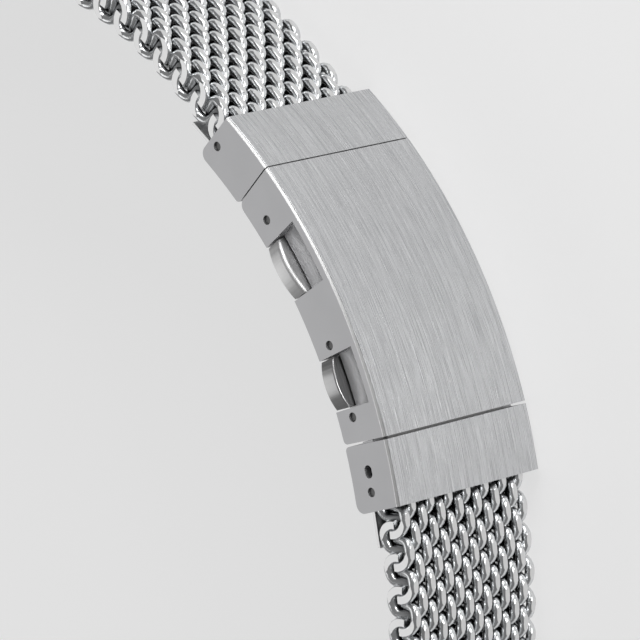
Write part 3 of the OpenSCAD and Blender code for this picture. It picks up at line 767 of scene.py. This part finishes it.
class WatchbandWeave(bpy.types.PropertyGroup):
    wire_radius: bpy.props.FloatProperty(
        name="Wire radius", description="Radius of the mesh wire",
        default=0.00055, min=0.0003, max=0.0008, unit="LENGTH", precision=5)
    half_length: bpy.props.FloatProperty(
        name="Loop reach", description="Reach of a loop from its row, to the wire's middle",
        default=0.00142, min=0.001, max=0.0018, unit="LENGTH", precision=5)
    face_sink: bpy.props.FloatProperty(
        name="Face sink", description="Depth of a bar's middle below the ground face",
        default=0.0004, min=0.0001, max=0.0005, unit="LENGTH", precision=5)
    side_sink: bpy.props.FloatProperty(
        name="Side sink", description="Depth of a bar's middle below the ground side",
        default=0.00035, min=0.0001, max=0.0005, unit="LENGTH", precision=5)
    length_power: bpy.props.FloatProperty(
        name="Length power", description="Lower values square the loops' ends",
        default=0.85, min=0.3, max=1.0)
    height_power: bpy.props.FloatProperty(
        name="Height power", description="Lower values flatten the loops' bars",
        default=0.5, min=0.3, max=1.0)
    end_turn: bpy.props.FloatProperty(
        name="End turn", description="How far the wire goes on past its outer bars",
        default=1.8, min=0.5, max=2.4, subtype="ANGLE")
    bars: bpy.props.IntProperty(
        name="Bars", description="Wire bars across the width, front and back together",
        default=14, min=8, max=20)
    steps: bpy.props.IntProperty(
        name="Steps per bar", description="Rings of the wire for each half turn",
        default=12, min=6, max=20)
    sides: bpy.props.IntProperty(
        name="Sides", description="Sides of the wire's ring",
        default=12, min=6, max=16)
    wire_rough: bpy.props.FloatProperty(
        name="Wire roughness", description="Roughness of the round wire",
        default=0.24, min=0.05, max=1.0)
    flat_rough: bpy.props.FloatProperty(
        name="Flat roughness", description="Roughness of the ground flats",
        default=0.42, min=0.05, max=1.0)
    wire_dark: bpy.props.FloatVectorProperty(
        name="Wire, dark", description="Round wire in its darker tone",
        subtype="COLOR", default=(0.62, 0.63, 0.64), min=0, max=1)
    wire_light: bpy.props.FloatVectorProperty(
        name="Wire, light", description="Round wire in its lighter tone",
        subtype="COLOR", default=(0.78, 0.79, 0.8), min=0, max=1)
    # Painted shade: the near-black colour that the wire takes deep between the loops, and the depths over
    # which it comes in.
    painted_recess_shade: bpy.props.FloatVectorProperty(
        name="Recess", description="Wire deep between the loops",
        subtype="COLOR", default=(0.05, 0.05, 0.052), min=0, max=1)
    recess_shade_start: bpy.props.FloatProperty(
        name="Recess from", description="Depth at which the wire starts to darken",
        default=0.00035, min=0.0, max=0.002, unit="LENGTH", precision=5)
    recess_shade_end: bpy.props.FloatProperty(
        name="Recess to", description="Depth at which the wire is darkest",
        default=0.0011, min=0.0001, max=0.003, unit="LENGTH", precision=5)
    flat_dark: bpy.props.FloatVectorProperty(
        name="Flat, dark", description="Ground flats in their darker tone",
        subtype="COLOR", default=(0.68, 0.68, 0.68), min=0, max=1)
    flat_light: bpy.props.FloatVectorProperty(
        name="Flat, light", description="Ground flats in their lighter tone",
        subtype="COLOR", default=(0.8, 0.8, 0.8), min=0, max=1)


class WatchbandClasp(bpy.types.PropertyGroup):
    line_length: bpy.props.FloatProperty(
        name="Line length", description="Length of a brushed line",
        default=0.007, min=0.001, max=0.02, unit="LENGTH", precision=4)
    line_width: bpy.props.FloatProperty(
        name="Line width", description="Width of a brushed line",
        default=0.00007, min=0.00004, max=0.0005, unit="LENGTH", precision=5)
    brush_strength: bpy.props.FloatProperty(
        name="Brush strength", description="How deep the brushed lines look",
        default=0.4, min=0.0, max=1.0)
    face_dark: bpy.props.FloatVectorProperty(
        name="Face, dark", description="Outer face between the bright lines",
        subtype="COLOR", default=(0.46, 0.465, 0.475), min=0, max=1)
    face_light: bpy.props.FloatVectorProperty(
        name="Face, light", description="Outer face on the bright lines",
        subtype="COLOR", default=(0.68, 0.685, 0.695), min=0, max=1)
    side_dark: bpy.props.FloatVectorProperty(
        name="Side, dark", description="Satin sides in their darker tone",
        subtype="COLOR", default=(0.5, 0.5, 0.51), min=0, max=1)
    side_light: bpy.props.FloatVectorProperty(
        name="Side, light", description="Satin sides in their lighter tone",
        subtype="COLOR", default=(0.58, 0.58, 0.59), min=0, max=1)


class WatchbandPushers(bpy.types.PropertyGroup):
    latch_crest: bpy.props.FloatProperty(
        name="Latch crest", description="Radius between a latch pusher's crown and its outer flank",
        default=0.00048, min=0.0001, max=0.0006, unit="LENGTH", precision=5)
    ratchet_crest: bpy.props.FloatProperty(
        name="Ratchet crest", description="Radius between a ratchet pusher's crown and its flank",
        default=0.0002, min=0.0001, max=0.0006, unit="LENGTH", precision=5)
    crest_steps: bpy.props.IntProperty(
        name="Crest steps", description="Faces across the rounded crest",
        default=5, min=1, max=8)


class WatchbandSprings(bpy.types.PropertyGroup):
    turns: bpy.props.IntProperty(
        name="Coils", description="Coils in each half of a spring bar's spring",
        default=11, min=4, max=20)
    wire: bpy.props.FloatProperty(
        name="Coil wire", description="Radius of the coil's wire",
        default=0.00011, min=0.00005, max=0.0002, unit="LENGTH", precision=5)
    bends: bpy.props.IntProperty(
        name="Bends", description="Places at which a leaf spring can bend",
        default=14, min=4, max=40)
    leaf_depth: bpy.props.FloatProperty(
        name="Leaf depth", description="How deep below the outer face a leaf's free part reaches",
        default=0.0039, min=0.0035, max=0.0045, unit="LENGTH", precision=5)


class WatchbandStudio(bpy.types.PropertyGroup):
    floor_colour: bpy.props.FloatVectorProperty(
        name="Floor", description="Colour of the floor",
        subtype="COLOR", default=(0.8, 0.8, 0.8), min=0, max=1)
    paleness: bpy.props.FloatProperty(
        name="Paleness", description="Share of plain white in the floor that is seen",
        default=0.6, min=0.0, max=1.0, subtype="FACTOR")
    head_power: bpy.props.FloatProperty(
        name="Head light", description="Power of the low light before the head",
        default=1.2, min=0.0, unit="POWER")
    tail_power: bpy.props.FloatProperty(
        name="Tail light", description="Power of the low light before the tail",
        default=1.15, min=0.0, unit="POWER")
    top_power: bpy.props.FloatProperty(
        name="Top light", description="Power of the light above and behind",
        default=0.5, min=0.0, unit="POWER")
    edge_power: bpy.props.FloatProperty(
        name="Edge light", description="Power of the light on the clasp's long edge",
        default=0.15, min=0.0, unit="POWER")
    sky: bpy.props.FloatProperty(
        name="Sky", description="Strength of the even light from all round",
        default=0.22, min=0.0, max=2.0)
    lens: bpy.props.FloatProperty(
        name="Lens", description="Focal length of the camera",
        default=337.6, min=50, max=1000, unit="CAMERA")


# The steps, one for each group of like pieces

# The first and last rows of a strap: reach of their loops and thickness, as shares of the other rows'

FIRST_ROW_REACH = 0.4
LAST_ROW_REACHES = {0: 0.66, 1: 0.27}
LAST_ROW_THICKNESS = 0.94


class WATCHBAND_OT_weave(bpy.types.Operator):
    """Weave the wire mesh of both straps"""

    bl_idname = "watchband.weave"
    bl_label = "Woven mesh"

    def execute(self, context):
        weave = context.scene.watchband_weave
        steel = wire_steel(weave)
        coil_rule, rows_rule = coil_tree(), rows_tree()
        coils = {}

        def coil(face, low, high, ahead, behind):
            """The ground coil of these sizes, made the first time it is asked for."""
            key = (face, low, high, ahead, behind)
            if key not in coils:
                made = tree_to_mesh(empty_object(f"Coil_{len(coils)}"), coil_rule, {
                    "Wire Radius": weave.wire_radius, "Half Height": face - weave.face_sink,
                    "Reach Ahead": weave.half_length * ahead, "Reach Behind": weave.half_length * behind,
                    "Length Power": weave.length_power, "Height Power": weave.height_power,
                    "First Bar": low + weave.side_sink, "Last Bar": high - weave.side_sink,
                    "Bars": weave.bars, "End Turn": weave.end_turn, "Steps per Bar": weave.steps,
                    "Sides": weave.sides, "Material": steel})
                grind(made.data, face, low, high)
                coils[key] = made
            return coils[key]

        for strap in STRAPS:
            names = sorted((n for n in NODES if n.startswith(strap + "_mesh_") and n[-1].isdigit()),
                           key=lambda n: int(n.rsplit("_", 1)[1]))
            pieces = [strap_rows(strap, name) for name in names]
            total = sum(len(rows) for rows in pieces)
            index = 0
            for name, rows in zip(names, pieces):
                alike = {}
                for row in rows:
                    left = total - 1 - index
                    near = FIRST_ROW_REACH if index == 0 else 1.0
                    far = LAST_ROW_REACHES.get(left, 1.0)
                    ahead, behind = (far, near) if strap == "head" else (near, far)
                    turned = index % 2 == 1
                    row["turn"] = math.atan2(row["along"][1], row["along"][0]) + (math.pi if turned else 0.0)
                    face = row["face"] * (1.0 if left else LAST_ROW_THICKNESS)
                    sizes = (round(face, 6), round(row["low"], 6), round(row["high"], 6))
                    reaches = (behind, ahead) if turned else (ahead, behind)
                    alike.setdefault(sizes + reaches, []).append(row)
                    index += 1
                meshes = []
                for key, group in alike.items():
                    part = row_points(name + "_rows", group)
                    tree_to_mesh(part, rows_rule, {"Coil": coil(*key), "Material": steel})
                    meshes.append(discard(part))
                piece = joined(name + "_weave", meshes, steel)
                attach(piece, NODES[name]["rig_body"])
                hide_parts(name)
        for made in coils.values():
            bpy.data.meshes.remove(discard(made))
        return {"FINISHED"}


class WATCHBAND_OT_clasp(bpy.types.Operator):
    """Finish the cover and the two blocks"""

    bl_idname = "watchband.clasp"
    bl_label = "Cover and blocks"

    def execute(self, context):
        finish_nodes(("cover", "head_block", "tail_block"), clasp_steel(context.scene.watchband_clasp))
        return {"FINISHED"}


class WATCHBAND_OT_pushers(bpy.types.Operator):
    """Round the crests of the four pushers and finish them"""

    bl_idname = "watchband.pushers"
    bl_label = "Pushers"

    def execute(self, context):
        pushers = context.scene.watchband_pushers
        # The pushers are one steel; the ratchet pushers' copy is darker by painted shade.
        latch_steel = brushed_steel("Latch pusher steel", dark=0.62, light=0.76, rough=0.42,
                                    width=0.00012, strength=0.3)
        ratchet_shaded_steel = brushed_steel("Ratchet pusher steel", dark=0.36, light=0.48, rough=0.3,
                                      width=0.00012, strength=0.3)
        for kind, steel, crest in (("latch", latch_steel, pushers.latch_crest),
                                   ("ratchet", ratchet_shaded_steel, pushers.ratchet_crest)):
            for end in ENDS:
                node = f"{kind}_pusher_{end}"
                piece = rounded_pusher(node, steel, crest, pushers.crest_steps)
                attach(piece, NODES[node]["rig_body"])
                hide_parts(node)
        return {"FINISHED"}


class WATCHBAND_OT_blades(bpy.types.Operator):
    """Finish the blades, the post, the tongue and the thin plates"""

    bl_idname = "watchband.blades"
    bl_label = "Blades and tongue"

    def execute(self, context):
        finish_nodes(("middle_blade", "base_blade"),
                     brushed_steel("Blade steel", dark=0.54, light=0.68, rough=0.24, width=0.00014,
                                   strength=0.35))
        finish_nodes(("ratchet_tongue",),
                     brushed_steel("Tongue steel", dark=0.26, light=0.36, rough=0.3, width=0.00012,
                                   strength=0.35))
        finish_nodes(("catch_post", "head_backing_plate", "tail_backing_plate"),
                     grained_steel("Ground steel", dark=0.55, light=0.66, rough=0.3))
        return {"FINISHED"}


class WATCHBAND_OT_pins(bpy.types.Operator):
    """Finish the pins, rivets and spring bars"""

    bl_idname = "watchband.pins"
    bl_label = "Pins and bars"

    def execute(self, context):
        bars = [n for n in NODES if n.endswith(("_tube", "_rivets")) or "_tip_" in n]
        finish_nodes(bars, grained_steel("Pin steel", dark=0.5, light=0.62, rough=0.26))
        # Painted shade: the pins sunk in their holes get a near-black steel, which stands in for the shade
        # down the holes.
        shaded_sunk_pins = [n for n in NODES if n.endswith(("_pin", "_pins"))]
        finish_nodes(shaded_sunk_pins, grained_steel("Sunk pin steel", dark=0.07, light=0.14, rough=0.34))
        finish_nodes(("head_end_bar", "tail_end_bar"),
                     brushed_steel("End bar steel", dark=0.56, light=0.68, rough=0.3, width=0.00008,
                                   strength=0.25, arc=False))
        return {"FINISHED"}


class WATCHBAND_OT_springs(bpy.types.Operator):
    """Wind the springs in the spring bars and shape the leaf springs"""

    bl_idname = "watchband.springs"
    bl_label = "Springs"

    def execute(self, context):
        springs = context.scene.watchband_springs
        steel = grained_steel("Spring steel", dark=0.34, light=0.46, rough=0.24, tint=(1.0, 1.0, 1.06))
        rule = spring_tree()
        for strap in STRAPS:
            node = strap + "_bar_spring"
            low, high = node_corners(node)
            middle = (low + high) / 2
            outer = (high[0] - low[0]) / 2
            length = high[2] - middle[2]
            for end in ENDS:
                start = middle[2] if end == "top" else low[2]
                piece = tree_to_mesh(empty_object(f"{strap}_spring_{end}"), rule, {
                    "Coils": float(springs.turns), "Coil Radius": outer - springs.wire,
                    "Wire Radius": springs.wire, "Length": length - 2 * springs.wire,
                    "Place": (middle[0], middle[1], start + springs.wire), "Material": steel})
                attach(piece, strap + "_end")
                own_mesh(piece)
                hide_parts(node)
        for kind in ("latch", "ratchet"):
            for end in ENDS:
                node = f"{kind}_spring_{end}"
                piece, start, finish = leaf(node, steel, springs.bends, springs.leaf_depth)
                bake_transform(piece)
                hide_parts(node)
        return {"FINISHED"}


# The stage: lamps as name, place, width, height and setting, then the camera as the photograph has it

LAMPS = (
    ("Head light", (0.33, -0.37, 0.15), 0.26, 0.26, "head_power"),
    ("Tail light", (-0.1, -0.49, 0.12), 0.2, 0.2, "tail_power"),
    ("Top light", (0.1, 0.38, 0.4), 0.36, 0.36, "top_power"),
    ("Edge light", (0.19, -0.37, 0.37), 0.18, 0.12, "edge_power"),
)
FLOOR_REACH = 1.6
FLOOR_ROUGH = 0.85
SENSOR_WIDTH = 36.0
NEAREST_SEEN = 0.01
CAMERA_SEAT = Vector((-0.1177, -0.4344, 0.4628))
CAMERA_AHEAD = Vector((0.184, 0.693, -0.697))
CAMERA_UP = Vector((0.900, -0.404, -0.165))
WHITE = (1.0, 1.0, 1.0, 1.0)


def floor_material(settings):
    """A pale floor that holds the shadow, and looks nearer to white to the camera and to reflections."""
    made, t, shader = new_material("Floor")
    t.put(shader.inputs["Metallic"], 0.0)
    t.put(shader.inputs["Roughness"], FLOOR_ROUGH)
    t.put(shader.inputs["Base Color"], opaque(settings.floor_colour))
    ray = t.node("ShaderNodeLightPath").outputs
    seen = t.math("MAXIMUM", ray["Is Camera Ray"], ray["Is Glossy Ray"])
    share = t.math("MULTIPLY", seen, settings.paleness)
    pale = t.node("ShaderNodeEmission", {"Color": WHITE, "Strength": 1.0})
    mixed = t.node("ShaderNodeMixShader", {0: share, 1: shader.outputs[0], 2: pale.outputs[0]})
    end = [n for n in made.node_tree.nodes if n.type == "OUTPUT_MATERIAL"][0]
    t.put(end.inputs["Surface"], mixed.outputs[0])
    return made


def add_lamp(name, place, width, height, power):
    """An oblong area light that faces the band."""
    data = bpy.data.lights.new(name, "AREA")
    data.shape = "RECTANGLE"
    data.size = width
    data.size_y = height
    data.energy = power
    lamp = link(bpy.data.objects.new(name, data))
    lamp.location = place
    lamp.rotation_euler = (-Vector(place)).to_track_quat("-Z", "Y").to_euler()


def add_camera(lens):
    """The camera, where the photograph was taken from, measured from the outer face's middle at its side."""
    data = bpy.data.cameras.new("Camera")
    data.lens = lens
    data.sensor_width = SENSOR_WIDTH
    data.clip_start = NEAREST_SEEN
    camera = link(bpy.data.objects.new("Camera", data))
    ahead = CAMERA_AHEAD.normalized()
    up = (CAMERA_UP - ahead * CAMERA_UP.dot(ahead)).normalized()
    turn = Matrix((ahead.cross(up), up, -ahead)).transposed()
    face_middle = Vector((ARC_CENTRE[0], ARC_CENTRE[1] - ARC_RADIUS, COVER_LOW[2]))
    camera.matrix_world = Matrix.Translation(face_middle + CAMERA_SEAT) @ turn.to_4x4()
    return camera


class WATCHBAND_OT_studio(bpy.types.Operator):
    """Set up the floor, the lights and the camera"""

    bl_idname = "watchband.studio"
    bl_label = "Studio"

    def execute(self, context):
        scene = context.scene
        studio = scene.watchband_studio
        scene.view_settings.view_transform = "Standard"
        shape = bmesh.new()
        bmesh.ops.create_grid(shape, x_segments=1, y_segments=1, size=FLOOR_REACH)
        floor = mesh_object("Floor", shape)
        coat(floor, floor_material(studio))
        scene.world = bpy.data.worlds.new("Studio")
        scene.world.use_nodes = True
        sky = scene.world.node_tree.nodes["Background"].inputs
        sky["Color"].default_value = WHITE
        sky["Strength"].default_value = studio.sky
        for name, place, width, height, power in LAMPS:
            add_lamp(name, place, width, height, getattr(studio, power))
        scene.camera = add_camera(studio.lens)
        return {"FINISHED"}


# Where the steps and their settings are listed

GROUPS = (("watchband_weave", WatchbandWeave), ("watchband_clasp", WatchbandClasp),
          ("watchband_pushers", WatchbandPushers), ("watchband_springs", WatchbandSprings),
          ("watchband_studio", WatchbandStudio))
STEPS = ((WATCHBAND_OT_weave, "watchband_weave"), (WATCHBAND_OT_clasp, "watchband_clasp"),
         (WATCHBAND_OT_pushers, "watchband_pushers"), (WATCHBAND_OT_blades, None), (WATCHBAND_OT_pins, None),
         (WATCHBAND_OT_springs, "watchband_springs"), (WATCHBAND_OT_studio, "watchband_studio"))


class WATCHBAND_PT_panel(bpy.types.Panel):
    """Lists the steps, each with its settings"""

    bl_label = "Watch band"
    bl_idname = "WATCHBAND_PT_panel"
    bl_space_type = "VIEW_3D"
    bl_region_type = "UI"
    bl_category = "Watch band"

    def draw(self, context):
        for step, group in STEPS:
            box = self.layout.box()
            box.operator(step.bl_idname)
            if group:
                settings = getattr(context.scene, group)
                for name in settings.__annotations__:
                    box.prop(settings, name)


def register():
    for name, group in GROUPS:
        bpy.utils.register_class(group)
        setattr(bpy.types.Scene, name, bpy.props.PointerProperty(type=group))
    for step, _ in STEPS:
        bpy.utils.register_class(step)
    bpy.utils.register_class(WATCHBAND_PT_panel)


def unregister():
    bpy.utils.unregister_class(WATCHBAND_PT_panel)
    for step, _ in reversed(STEPS):
        bpy.utils.unregister_class(step)
    for name, group in reversed(GROUPS):
        delattr(bpy.types.Scene, name)
        bpy.utils.unregister_class(group)


def main():
    register()
    bpy.ops.watchband.studio()
    bpy.ops.watchband.weave()
    bpy.ops.watchband.clasp()
    bpy.ops.watchband.pushers()
    bpy.ops.watchband.blades()
    bpy.ops.watchband.pins()
    bpy.ops.watchband.springs()


if __name__ == "__main__":
    main()
